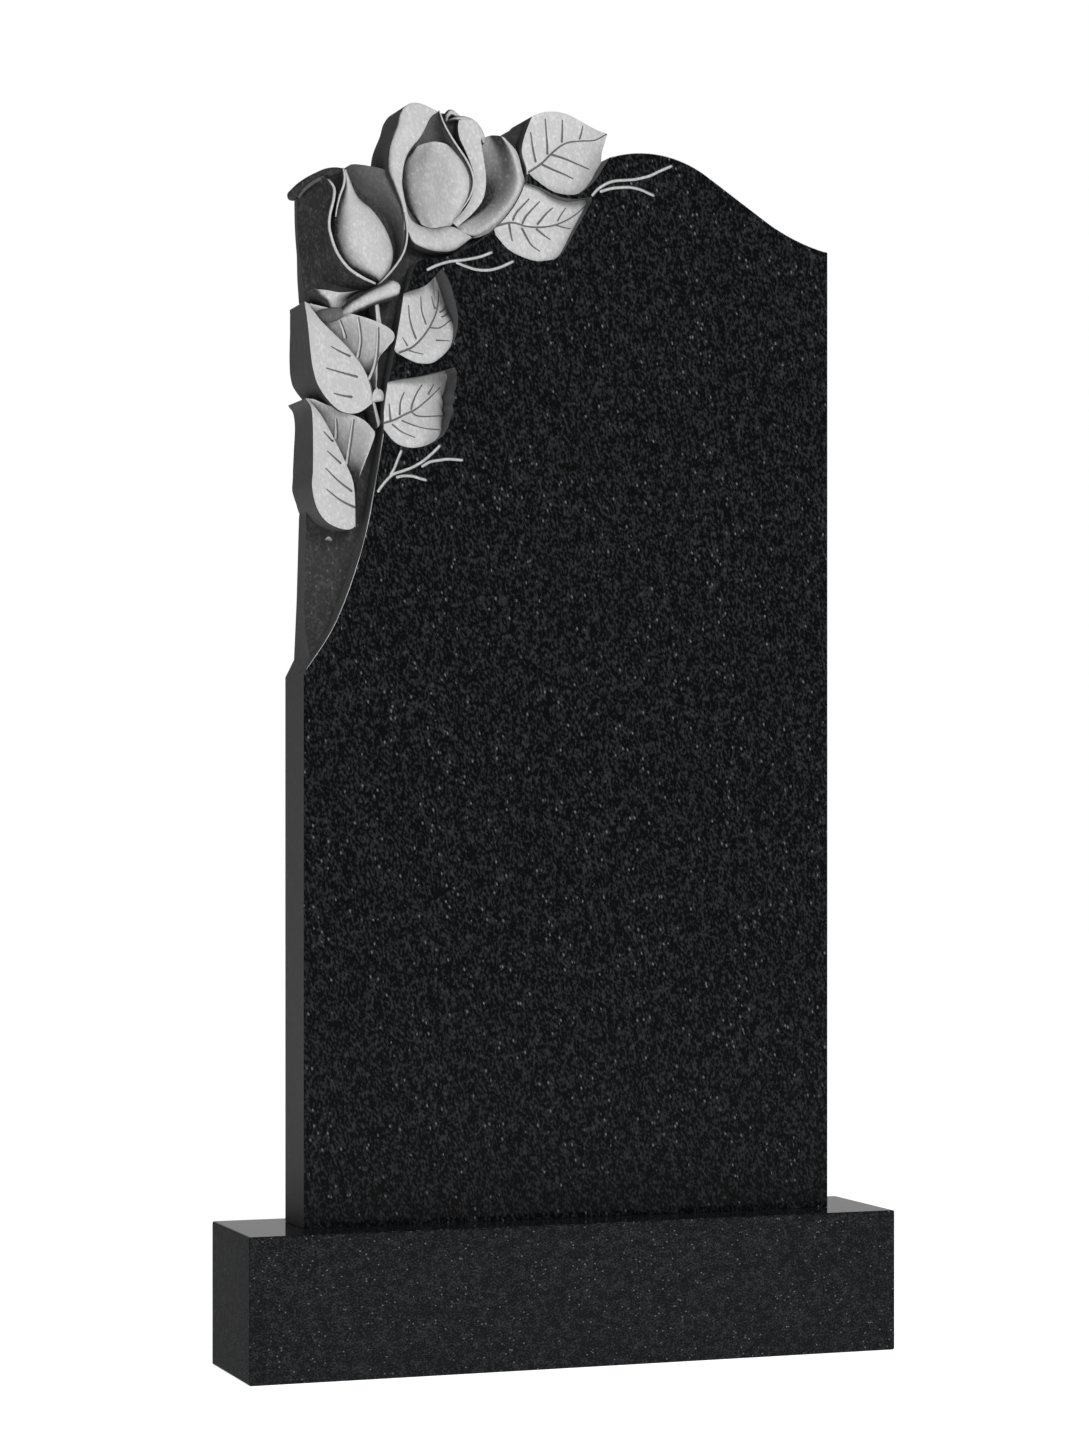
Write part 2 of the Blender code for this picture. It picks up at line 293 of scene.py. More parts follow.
# Each leaf is two halves that meet at its midrib: its left edge, its midrib and its right edge, stalk to tip
SUNK_LEAVES = {
    "top leaf": (
        [(242, 1126, 8), (239, 1149, 5), (243, 1174, 5), (256, 1191.6, 5), (277, 1195.4, 6), (297, 1193.5, 8),
         (332, 1182, 18), (356, 1180, 25)],
        [(250, 1121, 8), (271, 1137, 8), (287, 1152, 10), (305, 1161, 13), (327, 1166, 18), (354, 1177, 25)],
        [(255, 1116, 8), (275, 1104, 6), (291, 1100.5, 8), (308, 1103, 10), (325, 1117, 18), (335, 1132, 22),
         (346, 1150, 25), (352, 1174, 25)]),
    "second leaf": (
        [(210, 1062, 2), (227, 1083, 3), (236, 1094, 4), (243, 1109, 6), (262, 1106.5, 8), (280, 1099, 12),
         (300, 1096, 16), (321, 1099.5, 17)],
        [(211, 1057, 3), (241, 1065, 5), (264, 1065, 7), (283, 1069, 10), (305, 1080, 14), (322, 1097.5, 18)],
        [(212.5, 1052, 2), (228, 1037, 2), (252, 1028, 2), (268, 1028, 3), (286, 1035, 7), (305, 1066, 13),
         (322, 1095, 17)]),
    "third leaf": (
        [(97, 930, 1), (102, 957, 3), (109, 983, 8), (134, 994.5, 20), (151.5, 1013, 31)],
        [(99, 926, 2.5), (117, 927, 4), (136, 944, 12), (153, 976, 28), (155, 997, 36), (153.5, 1011, 34)],
        [(101, 922, 1), (118, 914, 1), (130, 911.5, 1), (145, 914.5, 2), (163, 932, 5), (170, 955, 16),
         (168, 975, 32), (161, 998, 36), (155.5, 1009, 33)]),
    "fourth leaf": (
        [(83, 853, 1), (85, 873, 2), (91, 889.5, 4), (130, 898.5, 18), (166, 909, 32)],
        [(84, 848, 2.5), (101, 851, 4), (121, 862, 11), (138, 872, 19), (156, 889, 32), (167.5, 907, 34)],
        [(86, 842, 1), (100, 827, 1), (116, 822, 1), (133, 824.5, 3), (151, 834, 15), (158.5, 844, 23),
         (160.5, 850, 28), (162.5, 857, 32), (165, 862, 35), (164, 869, 37), (166.7, 875, 39),
         (165.3, 882, 41), (168, 889, 40), (169, 904, 34)]),
}
# The raised leaves' left halves lie over their right ones, so each has two lines for its midrib
RAISED_LEAVES = {
    "left leaf": (
        [(3, 972, 8), (5, 950, 3), (11, 901, 3), (21, 877, 3), (40, 859, 4), (60, 857, 5), (79, 869, 10)],
        [(7, 970.5, 9), (23, 951, 8), (53, 923, 8), (73, 895, 8), (80, 870, 11)],
        [(8, 971, 14), (24.5, 952.5, 18), (55, 925, 19), (75, 896, 15), (81, 870.5, 13)],
        [(12, 971, 14), (48, 963, 8), (76, 956, 5), (96, 947, 4), (101, 938, 5), (94, 928, 7), (84, 915, 8),
         (83, 896, 9), (82, 872, 12)]),
    "lower left leaf": (
        [(3, 870, 4), (10, 855, 3), (11, 800, 3), (10, 778, 3), (15, 756, 3), (26, 741.5, 4), (42, 734.5, 5),
         (53.5, 734.5, 7), (57.5, 737.5, 8)],
        [(8, 870.5, 9), (23, 851, 8), (36, 828, 8), (49, 802, 8), (57, 779, 8), (59, 737, 9)],
        [(9.5, 871, 14), (25, 852, 19), (38, 829.5, 20), (51, 803, 18), (59, 779.5, 14), (60, 738, 11)],
        [(14, 871, 14), (45, 859, 11), (66, 851, 7), (77, 840, 4), (79, 835, 4), (75, 821, 6), (61, 780, 9),
         (60.5, 739, 10)]),
}
# How far the back of each raised leaf's side stands out across, by pairs of (up, millimetres)
FLARES = {
    "left leaf": ((867, 0.5), (879, -4), (891, -7.5), (903, -7), (925, -4), (948, 0), (967, 2.5)),
    "lower left leaf": ((735, 0), (765, 0), (778, -3), (800, -3.5), (825, -2), (845, 0), (870, 0)),
}
# The veins of each leaf as they show on it: its midrib, its deep veins and its faint ones
VEINS = {
    "top leaf": (
        [(250, 1122), (263, 1131), (275, 1143), (290, 1154.5), (300, 1158), (325, 1161), (340, 1169)],
        [[(257.5, 1134), (254.5, 1147), (252, 1164)],
         [(271, 1143), (270.5, 1156), (268.5, 1180)],
         [(287.5, 1157), (288, 1168), (288, 1180)],
         [(308, 1162), (310, 1168), (311.5, 1175)],
         [(275, 1142.5), (290, 1139), (305, 1134), (318, 1129.5)],
         [(265, 1131), (275, 1127), (290, 1122), (300, 1118)]]),
    "second leaf": (
        [(213, 1062), (227, 1067), (240, 1064), (262, 1063.5), (280, 1067), (300, 1077), (316, 1091)],
        [[(232, 1070), (236, 1078), (250, 1093)],
         [(243, 1067), (247, 1075), (262, 1091)],
         [(260, 1067), (270, 1079), (277, 1085)],
         [(227.5, 1065), (229, 1056), (231, 1047.5)],
         [(242, 1061), (252, 1045), (262, 1038)],
         [(259, 1061), (266, 1056), (274, 1051)]],
        [[(283, 1072), (287, 1079), (292, 1086)],
         [(281, 1067), (289, 1065), (297, 1064)]]),
    "third leaf": (
        [(105, 922), (114, 925), (121, 930), (130, 939), (138, 950), (144, 962), (148, 978), (148.5, 1000)],
        [[(123, 938), (119, 948), (116, 960), (115, 972)],
         [(134, 954), (129.5, 968), (128.5, 982)],
         [(144, 971), (142, 977), (140.5, 983)]],
        [[(113.5, 930), (111, 934), (108.5, 938)],
         [(113, 926), (120, 923.5), (131, 921.5)],
         [(140, 950), (150, 950.5), (163, 960)],
         [(150, 967), (154, 970), (158, 976)],
         [(152, 962), (156, 964), (159, 967)],
         [(146, 937), (153, 937), (160, 937)]]),
    "fourth leaf": (
        [(88, 847), (100, 851), (107, 855), (117, 860), (126, 864.5), (133, 871), (140, 877), (150, 887)],
        [[(95, 851), (94, 859), (93.5, 867)],
         [(105, 857), (106, 870), (110, 880)],
         [(118, 863), (119, 868), (124, 880), (130, 889)],
         [(137, 880), (140, 885), (143, 890)]],
        [[(119, 859), (127, 855.5), (153, 857)],
         [(108, 850), (120, 846), (133, 843), (150, 842)],
         [(97, 845.5), (108, 838), (122, 833)]]),
    "left leaf": (
        [(10, 962), (20, 949), (30, 941), (40, 932), (50, 921), (62, 909), (68, 900), (74, 882), (75, 876)],
        [[(44, 935), (42, 943), (38, 953)],
         [(58, 915), (61, 932), (60, 945), (58, 957)],
         [(71, 893), (76, 905), (79, 920), (80, 935), (80, 947)]],
        [[(50, 916), (40, 920), (30, 925)],
         [(58, 894.5), (42, 898), (25, 902)],
         [(52, 873), (42, 874), (33, 876)]]),
    "lower left leaf": (
        [(12, 862), (20, 850), (27, 838), (33, 827), (40, 816), (46, 801), (51, 789), (54, 778), (56, 770)],
        [[(34, 829), (34.5, 839), (34, 849)],
         [(46, 803), (51, 835), (53, 849)]],
        [[(32, 825), (28, 829), (22, 835)],
         [(40, 803), (34, 808), (26, 815)],
         [(52, 774), (38, 784), (24, 797)],
         [(55, 757), (40, 764), (25, 775)]]),
}
# Each petal: its swell towards the viewer, how far it is drawn out backwards, its finish, and the lines that
# it is stretched over, drawn against the face with their depths behind it. The hollow's and the cut walls'
# darker finishes on the calyx, the right outer petal, the hood and between the lips are partly the stone's
# unfrosted grey and partly painted shade where they turn from the light.
PETALS = {
    "calyx": (3, DRAW, SCOOPED_AND_PAINTED_SHADE, [(-3, 1016, 56), (14, 1003, 43), (34, 992, 30), (74, 990, 24)],
              [(-2, 996, 54), (12, 986, 42), (30, 976, 28), (70, 980, 22)],
              [(2, 972, 46), (16, 966, 38), (32, 960, 28), (68, 966, 22)]),
    "left outer petal": (6, DRAW, FROSTED_WITH_PAINTED_SHADE,
                         [(18, 1101, 24), (27, 1098, 14), (32, 1084, 7), (27, 1056, 4), (33, 1026, 4),
                          (50, 1005, 5), (78, 992, 9)],
                         [(9, 1094, 40), (15, 1080, 34), (15, 1050, 34), (20, 1018, 30), (42, 996, 22),
                          (78, 988, 16)],
                         [(-7, 1082, 60), (-7, 1050, 62), (-5, 1022, 62), (0, 1000, 54), (22, 986, 40),
                          (72, 984, 22)]),
    "right outer petal": (0, DRAW, CUT_AND_PAINTED_SHADE,
                          [(45, 1112, 34), (60, 1086, 37), (76, 1072, 37), (88, 1058, 37), (96, 1043, 36),
                           (100, 1029, 33), (98, 1014, 27), (84, 994, 20)],
                          [(52, 1117.5, 28), (68, 1100, 26), (86, 1080, 25), (98, 1060, 24), (103, 1042, 22),
                           (105, 1025, 19), (98, 1009, 17), (84, 993, 16)],
                          [(68, 1117.5, 21), (84, 1101, 18), (97, 1083, 15), (107, 1065, 11), (109, 1050, 9),
                           (108.5, 1035, 9), (101.5, 1018, 10), (84, 992, 13)],
                          [(90, 1114.5, 17), (95, 1104, 15), (103, 1088, 12), (110, 1070, 9), (114, 1051, 8),
                           (112, 1036, 8), (106, 1020, 10), (85, 990, 14)]),
    "small bud": (14, DRAW, FROSTED_WITH_PAINTED_SHADE,
                  [(43, 1112, 16), (42, 1095, 15), (35, 1072, 14), (32, 1055, 14), (33, 1035, 14),
                   (43, 1014, 14), (60, 1003, 14), (82, 994, 17)],
                  [(46, 1112, 18), (58, 1085, 20), (74, 1072, 20), (86, 1058, 20), (94, 1043, 20),
                   (98, 1029, 20), (97, 1016, 19), (92, 1004, 18), (83, 993.5, 17)]),
    "tall left petal": (4, DRAW, FROSTED_WITH_PAINTED_SHADE,
                        [(110, 1050, 8), (107, 1074, 9), (99, 1094, 10), (92, 1112, 10), (92, 1130, 10),
                         (95, 1144, 10), (102, 1161, 10), (106, 1174.5, 10), (114, 1185, 11),
                         (126, 1187.3, 12), (143, 1182, 14)],
                        [(116, 1050, 9), (114, 1070, 10), (110, 1088, 11), (108, 1105, 12), (113, 1130, 14),
                         (129, 1153, 15), (139, 1172, 16), (148, 1179.5, 15)]),
    "hood": (0, DRAW, CUT_AND_PAINTED_SHADE,
             [(147, 1180, 15), (138, 1170, 24), (127, 1153, 29), (110, 1130, 30), (104, 1100, 28),
              (116, 1060, 26), (150, 1048, 22)],
             [(148.5, 1180, 14), (148, 1166, 24), (148, 1150, 26), (150, 1130, 24), (150, 1100, 22),
              (148, 1070, 20), (152, 1050, 20)],
             [(149.5, 1180, 9), (155, 1166, 10), (171, 1142, 10), (185, 1118, 10), (187, 1106, 10),
              (179, 1085, 13), (158, 1058, 16)]),
    "large bud": (0, DRAW, FROSTED_WITH_PAINTED_SHADE,
                  [(121, 1138.5, 21.5), (112, 1124, 24), (108.5, 1104, 26), (111, 1085, 26), (117, 1071, 25),
                   (126, 1061.5, 22)],
                  [(124, 1141, 19.5), (115.5, 1124, 22), (113, 1104, 23), (115, 1085, 23), (121, 1070, 22),
                   (129, 1059, 20)],
                  [(132, 1144.5, 17), (124, 1124, 18.5), (121.5, 1104, 19.5), (123, 1085, 19.5),
                   (129, 1069, 19), (135, 1056.5, 19)],
                  [(144, 1147.5, 13.5), (142, 1128, 12), (141, 1106, 13.5), (141, 1086, 14),
                   (142, 1068, 15.5), (145, 1054.5, 17)],
                  [(156, 1146, 13), (168, 1130, 6.5), (172, 1108, 6), (170, 1088, 7.5), (163, 1070, 12),
                   (156, 1056, 17)],
                  [(163, 1142.5, 16), (177, 1126.5, 13), (183.5, 1108, 12), (181, 1090, 13), (174, 1075, 15),
                   (165, 1062, 17)]),
    "between the lips": (0, DRAW, SCOOPED_AND_PAINTED_SHADE, [(150, 1178, 20), (162, 1150, 22), (176, 1130, 22)],
                         [(166, 1178, 20), (176, 1150, 22), (186, 1130, 20)],
                         [(186, 1172, 20), (190, 1150, 20), (193, 1130, 18)]),
    "crescent petal": (0, DRAW, FROSTED_WITH_PAINTED_SHADE,
                       [(171, 1172, 8.5), (170, 1164, 8.5), (172, 1153, 8), (177, 1143, 8), (183, 1130, 8.5),
                        (187.5, 1117, 9), (188.5, 1106, 9), (185, 1091, 10), (176, 1076, 12),
                        (163, 1062.5, 16)],
                       [(180, 1173.5, 7.5), (181, 1164, 7), (183, 1153, 7), (187, 1142, 7), (191, 1129, 7.5),
                        (194, 1116, 8), (195, 1104, 8), (190.5, 1088, 9), (180, 1074, 11), (166, 1061, 15)],
                       [(189, 1173.5, 8.5), (195, 1162, 8), (196, 1150, 7.5), (198, 1138, 7.5),
                        (200, 1126, 7.5), (201.5, 1113, 8), (200.5, 1098, 8.5), (195.5, 1085, 9.5),
                        (184, 1071.5, 11.5), (169, 1058.5, 15)]),
    "dished petal": (0, DRAW, FROSTED_WITH_PAINTED_SHADE,
                     [(192, 1152, 27), (195, 1132, 28), (200, 1113, 28), (200, 1100, 28), (196, 1086, 27),
                      (184, 1073, 24), (168, 1060, 19)],
                     [(206, 1158, 22), (213, 1140, 20), (217, 1120, 19), (216, 1103, 18), (208, 1088, 18),
                      (193, 1072, 17), (170, 1057, 17)],
                     [(217, 1158.5, 14), (229, 1145, 11), (236, 1124, 9), (237, 1108, 8), (229, 1089, 8),
                      (209, 1067, 9), (187, 1053, 11), (171, 1055, 15)],
                     [(222, 1157, 13), (236, 1143, 13), (242, 1124, 11), (245, 1109, 11), (237, 1089, 11),
                      (217, 1063, 12), (190, 1048, 13), (172, 1052, 17)]),
    "lower petal": (6, DRAW, FROSTED_WITH_PAINTED_SHADE,
                    [(114, 1070, 18), (121, 1061, 19), (138, 1056, 19), (162, 1059, 16), (186, 1050, 14)],
                    [(112, 1058, 9), (119, 1040, 9), (133, 1032.5, 11), (149, 1030, 12), (166, 1033, 12),
                     (185.5, 1047.5, 14)]),
    "sepal": (1, 22, FROSTED_WITH_PAINTED_SHADE, [(9, 984.3, 13), (18.8, 984.2, 9), (27.5, 983.7, 8), (38.4, 982.3, 9),
                               (50.4, 983.3, 14), (62.5, 986, 19), (73.5, 987.1, 24)],
              [(10, 983.3, 13.5), (19.8, 978.6, 9.5), (29.7, 974.3, 9), (40.6, 973.3, 17), (52.6, 977.6, 25),
               (64.7, 981.9, 28)],
              [(10.6, 981.7, 14), (16.6, 975.2, 12), (24.2, 969.3, 12), (32.9, 963.5, 15), (42.8, 965, 25),
               (52.6, 971.8, 31), (63.6, 979.7, 33)]),
    "leaflet": (1.5, 12, BLASTED, [(74, 872, 9), (76, 879, 8), (80, 884.5, 9)],
                [(75, 869.5, 9), (82, 874, 7), (82, 882, 9)],
                [(77, 868.5, 10), (87.5, 871, 9), (87, 879, 10), (83, 883, 10)]),
    "upper stem": (1, DRAW, FROSTED_WITH_PAINTED_SHADE, [(72, 972, 16), (74, 945, 16)], [(78, 974, 9), (80, 944, 9)],
                   [(82, 972, 12), (86, 945, 12)]),
    "lower stem": (1, DRAW, FROSTED_WITH_PAINTED_SHADE, [(66, 872, 18), (74, 838, 18)], [(74, 872, 10), (81, 842, 10)],
                   [(78, 868, 12), (84, 847, 12)]),
}
# Rolled rims, lips and hips: a bar whose path is drawn against the face as (across, up, behind, radius).
# The darker finishes of the curled lip, its fold and the hip's lobe are partly the stone's unfrosted grey
# and partly painted shade.
ROLLS = {
    "curled lip": (SCOOPED_AND_PAINTED_SHADE, [(-12.5, 1080.5, 62, 5.6), (-4, 1089, 52, 5.6), (6, 1096, 42, 5.8),
                             (16, 1101.5, 32, 5.8), (26, 1106.5, 24, 5.4), (36, 1109.5, 19, 4.0),
                             (43, 1111, 16, 1.8)]),
    "fold of the lip": (CUT_AND_PAINTED_SHADE, [(-5, 1080, 49, 1.6), (0, 1087, 41, 1.9), (7, 1093.5, 33, 2.1),
                              (15, 1099, 25, 2.2), (21, 1101.5, 19, 1.9)]),
    "rim of the left petal": (FROSTED_WITH_PAINTED_SHADE, [(20, 1101, 20, 1.8), (27, 1098, 12, 2.2), (32.5, 1090, 8, 2.3),
                                        (31.5, 1078, 5, 2.2), (28, 1064, 4, 2.2), (27, 1050, 3.5, 2.3),
                                        (31, 1034, 3.5, 2.4), (37, 1021, 4, 2.5), (48, 1008, 5, 2.5),
                                        (62, 999.5, 6, 2.3), (77, 993.5, 9, 1.8)]),
    "rim of the small bud": (FROSTED_WITH_PAINTED_SHADE, [(42.5, 1112, 14, 1.4), (44, 1104, 11, 1.8), (43, 1095, 9, 1.8),
                                       (39, 1084, 8, 1.6), (36, 1072, 9, 1.3), (34.5, 1062, 9, 1.0)]),
    "rim of the right petal": (FROSTED_WITH_PAINTED_SHADE, [(110.5, 1070, 7, 1.0), (113, 1051, 5, 1.5), (111.5, 1036, 5, 1.6),
                                         (107, 1024, 6, 1.7), (99, 1012, 8, 1.8), (90, 1001.5, 10, 1.7),
                                         (80, 991, 13, 1.5)]),
    "spiral lip": (FROSTED_WITH_PAINTED_SHADE, [(149, 1180, 10, 1.0), (154, 1167, 9, 1.5), (162, 1153.5, 9, 1.7),
                             (171, 1141, 9, 1.8), (179, 1130, 9, 1.8), (185, 1118, 9, 1.8),
                             (187, 1107, 10, 1.7), (184.5, 1095, 11, 1.5), (178.5, 1084, 13, 1.3),
                             (170, 1073, 15, 1.0)]),
    "small curl": (FROSTED_WITH_PAINTED_SHADE, [(156, 1171, 17, 2.4), (157.5, 1176, 15, 3.0), (161.5, 1179.5, 14, 3.4),
                             (167, 1177.5, 15, 2.6), (172, 1174.5, 16, 1.6)]),
    "top curl": (FROSTED_WITH_PAINTED_SHADE, [(160, 1171.5, 15, 1.4), (167, 1173.5, 12.5, 2.2), (176, 1173, 12, 3.8),
                           (184, 1169.5, 13, 5.2), (190, 1163, 14, 5.8), (194.5, 1156.5, 16, 5.0),
                           (197, 1151, 18, 3.4)]),
    "hip": (FROSTED_WITH_PAINTED_SHADE, [(38, 958.5, 14, 5.0), (45, 962.2, 11.5, 6.2), (52, 967, 10, 7.2), (60, 971.5, 9, 7.8),
                      (68, 975.8, 8.5, 8.4), (77.9, 980.5, 8.5, 9.2), (87.8, 984.7, 8.5, 10.2),
                      (95, 988.2, 9, 10.8)]),
    "lobe of the hip": (CUT_AND_PAINTED_SHADE, [(16.5, 957.4, 19, 6.6), (23.1, 957.2, 13.5, 7.6), (31.8, 958.7, 11.5, 7.4),
                              (40, 960.7, 13, 6.0), (47, 963.5, 16, 4.4)]),
}
# Tendrils scratched into the polished face, each a stroke of a round tool
TENDRILS = (
    [(323.5, 1102), (330, 1109), (340, 1115.5), (350, 1119), (362, 1120.5), (375, 1122.5), (390, 1127),
     (402, 1133), (415, 1139)],
    [(333, 1106.5), (345, 1110.5), (355, 1112), (366, 1113), (378, 1111.5), (388, 1108), (394, 1106)],
    [(137, 1011.7), (147.7, 1017), (161, 1021.4), (177.7, 1024.2), (195.4, 1028.4), (208.2, 1033.7)],
    [(169.6, 1020.6), (180, 1017.2), (191.4, 1014.6), (205, 1014.7), (218.4, 1018.6), (232.3, 1025.3)],
    [(82, 775), (88, 783), (95, 790.5), (100, 794), (110, 797.5), (120, 801.5), (128, 806), (135, 811),
     (143, 818), (150, 825)],
    [(96, 793), (100, 800), (104, 810), (107.5, 818)],
    [(131, 803), (140, 808), (150, 810), (160, 811.5), (175, 811)],
    [(103, 790.5), (110, 792), (120, 792), (128, 790), (134.5, 788.5)],
)


def bar(name, points, finish, segments=12):
    """A round bar with round ends through points (across, up, behind, radius)."""
    path = curve(points)
    steps = SPAN_RINGS * (len(points) - 1)
    bm = bmesh.new()
    rings = []
    for k in range(-END_RINGS, steps + END_RINGS + 1):
        t = min(max(k / steps, 0), 1)
        here = path(t)
        heading = Vector(path(min(t + LOOK, 1))[:3] - path(max(t - LOOK, 0))[:3]).normalized()
        ahead = END_STEP * (k - t * steps)
        radius = here[3] * math.sqrt(1 - ahead * ahead)
        centre = Vector(here[:3]) + heading * ahead * here[3]
        side = heading.cross(Vector((0, 0, 1))).normalized()
        out = side.cross(heading)
        ring = bmesh.ops.create_circle(bm, segments=segments, radius=1)["verts"]
        for vert in ring:
            vert.co = place(*(centre + (side * vert.co.x + out * vert.co.y) * radius))
        rings.append(ring)
    for a, b in zip(rings, rings[1:]):
        edges = [edge for ring in (a, b) for vert in ring for edge in vert.link_edges
                 if edge.other_vert(vert) in ring]
        # Each edge once, always in the same order
        bmesh.ops.bridge_loops(bm, edges=list(dict.fromkeys(edges)))
    bmesh.ops.holes_fill(bm, edges=bm.edges, sides=segments)
    for face in bm.faces:
        face.material_index = finish
    bmesh.ops.triangulate(bm, faces=bm.faces)
    bmesh.ops.recalc_face_normals(bm, faces=bm.faces)
    return finished(name, bm)


def roll(name, finish, points):
    """A rolled rim or lip, from its drawn path."""
    spots = as_placed([point[:3] for point in points])
    return bar(name, [(*spot, point[3]) for spot, point in zip(spots, points)], finish)


def scratch(name, points, radius=2.1, proud=0.5):
    """The cutter of one tendril: a bar lying a little proud of the polished face."""
    return bar(name, [(*point, -proud, radius) for point in points], FROSTED_WITH_PAINTED_SHADE)


def vein_bar(name, surface, line, radius, beside, finish):
    """A bar that lies on a leaf along a drawn line, moved a little across, and thins out to its end."""
    smooth = curve(line)
    spots = on_surface(surface, [smooth(i / VEIN_SPANS) + (beside, 0) for i in range(VEIN_SPANS + 1)])
    return bar(name, [(*spot, radius * (1 - THINNING * i)) for i, spot in enumerate(spots)], finish)


def vein_grooves(name, surface, beside, faint_radius):
    """The grooves of a leaf's veins, whose darker grey is painted shade in them. Those of its deep ones run a
    little beside them.
    """
    midrib, deep, *faint = VEINS[name]
    strokes = ([(midrib, MIDRIB, 0)] + [(vein, DEEP_VEIN, beside) for vein in deep]
               + [(vein, faint_radius, 0) for vein in sum(faint, [])])
    return [vein_bar(f"{name} groove {k}", surface, *stroke, GROOVE_PAINTED_SHADE) for k, stroke in enumerate(strokes)]


def sunk_leaf(name, lines, finishes):
    """The cutter of a leaf that is sunk into the polished face, with its veins standing up on it."""
    surface = sheet(lines, LEAF_SWELL)
    cutter = drawn_out(name, surface, LEAF_FACETS, -DRAW, BLASTED, CUT_AND_PAINTED_SHADE)
    give_finishes(cutter, finishes)
    carve(cutter, "UNION", vein_grooves(name, surface, 0, SUNK_FAINT_VEIN))
    return cutter


def raised_leaf(name, lines, finishes):
    """A leaf that stands in the hollow, with a rib along each deep vein beside its groove."""
    surface = sheet(lines, LEAF_SWELL)
    solid = drawn_out(name, surface, LEAF_FACETS, DRAW, FROSTED_WITH_PAINTED_SHADE, SAWN, FLARES[name])
    give_finishes(solid, finishes)
    carve(solid, "DIFFERENCE", vein_grooves(name, surface, BESIDE, RAISED_FAINT_VEIN))
    carve(solid, "UNION", [vein_bar(f"{name} rib {k}", surface, vein, DEEP_VEIN, 0, BLASTED)
                           for k, vein in enumerate(VEINS[name][1])])
    return solid


def arrises():
    """The cutters that blunt the polished face's arris edges beside the hollow and on top, leaving light
    lines that are partly the frosted stone and partly a painted highlight.
    """
    beside = [(0.5, 583), (26, 620), (41, 650), (56, 690), (70, 740), (80, 795), (87, 835)]
    radius = 0.6
    # Their light frosted grey is partly the blunted stone and partly a painted highlight along the edge
    return [bar(name, [(*point, 0, radius) for point in edge], BLASTED, segments=8)
            for name, edge in (("arris beside the hollow", beside), ("arris on top", top_edge()[1:-1:3]))]


def chip():
    """The cutter of the small bright chip in the hollow, under the lowest leaf."""
    return roll("chip", BLASTED, [(24.5, 722.5, 36.6, 1.3), (27, 723.5, 35.9, 2.0), (29.5, 722, 35.1, 1.5)])


def behind_the_back():
    """A block, well larger than the slab, whose front is the plane of the slab's back."""
    bm = bmesh.new()
    size = 2
    bmesh.ops.create_cube(bm, size=size)
    back = SLAB_FACE + SLAB_THICKNESS * MM
    bmesh.ops.translate(bm, verts=bm.verts, vec=(0, back + size / 2, CORNER_UP * MM))
    for face in bm.faces:
        face.material_index = SAWN
    return finished("behind the back", bm)


def give_finishes(solid, finishes):
    """Give a solid the stele's material slots, in their order."""
    for finish in finishes:
        solid.data.materials.append(finish)


def carve(solid, operation, tools):
    """Cut tools from a solid, or join them to it. A tool without finishes takes the solid's."""
    for tool in tools:
        if not tool.data.materials:
            give_finishes(tool, solid.data.materials)
        modifier = solid.modifiers.new(tool.name, "BOOLEAN")
        modifier.operation = operation
        modifier.object = tool
        modifier.solver = "MANIFOLD"


def carved_stele(finishes):
    """The sawn slab with its hollow, leaves, petals, rims and tendrils, cut to its true thickness."""
    slab = sawn_slab()
    give_finishes(slab, finishes)
    sunk = [sunk_leaf(name, lines, finishes) for name, lines in SUNK_LEAVES.items()]
    raised = [raised_leaf(name, lines, finishes) for name, lines in RAISED_LEAVES.items()]
    raised += [drawn_out(name, petal(lines, swell), PETAL_FACETS, draw, finish)
               for name, (swell, draw, finish, *lines) in PETALS.items()]
    raised += [roll(name, finish, points) for name, (finish, points) in ROLLS.items()]
    carve(slab, "DIFFERENCE", [hollow()])
    carve(slab, "DIFFERENCE", sunk)
    carve(slab, "UNION", raised)
    carve(slab, "DIFFERENCE", [scratch(f"tendril {k}", line) for k, line in enumerate(TENDRILS)])
    carve(slab, "DIFFERENCE", arrises() + [chip(), behind_the_back()])
    mesh = bpy.data.meshes.new_from_object(slab.evaluated_get(bpy.context.evaluated_depsgraph_get()))
    tools = [modifier.object for modifier in slab.modifiers]
    slab.modifiers.clear()
    slab.data = mesh
    for tool in tools:
        for part in [modifier.object for modifier in tool.modifiers] + [tool]:
            bpy.data.objects.remove(part)
    mesh.polygons.foreach_set("use_smooth", [True] * len(mesh.polygons))
    mesh.set_sharp_from_angle(angle=CREASE)
    return slab


def tree_of(material):
    """The node tree of a new material."""
    material.use_nodes = True
    return material.node_tree


def node(tree, kind, at=(0, 0), inputs=(), **settings):
    """A new shader node with some of its settings, and values for its inputs by name or number."""
    new = tree.nodes.new(kind)
    new.location = at
    for key, value in settings.items():
        setattr(new, key, value)
    for key, value in dict(inputs).items():
        new.inputs[key].default_value = value
    return new


def grey(value):
    """A neutral colour from its value on a screen, 0 to 255."""
    linear = ((value / 255 + 0.055) / 1.055) ** 2.4
    return (linear, linear, linear, 1)


def polish(value):
    """A grey with the faint cold tinge of the polished faces, from its value on a screen."""
    red, green, blue, alpha = grey(value)
    return (red * LESS_RED, green, blue * MORE_BLUE, alpha)


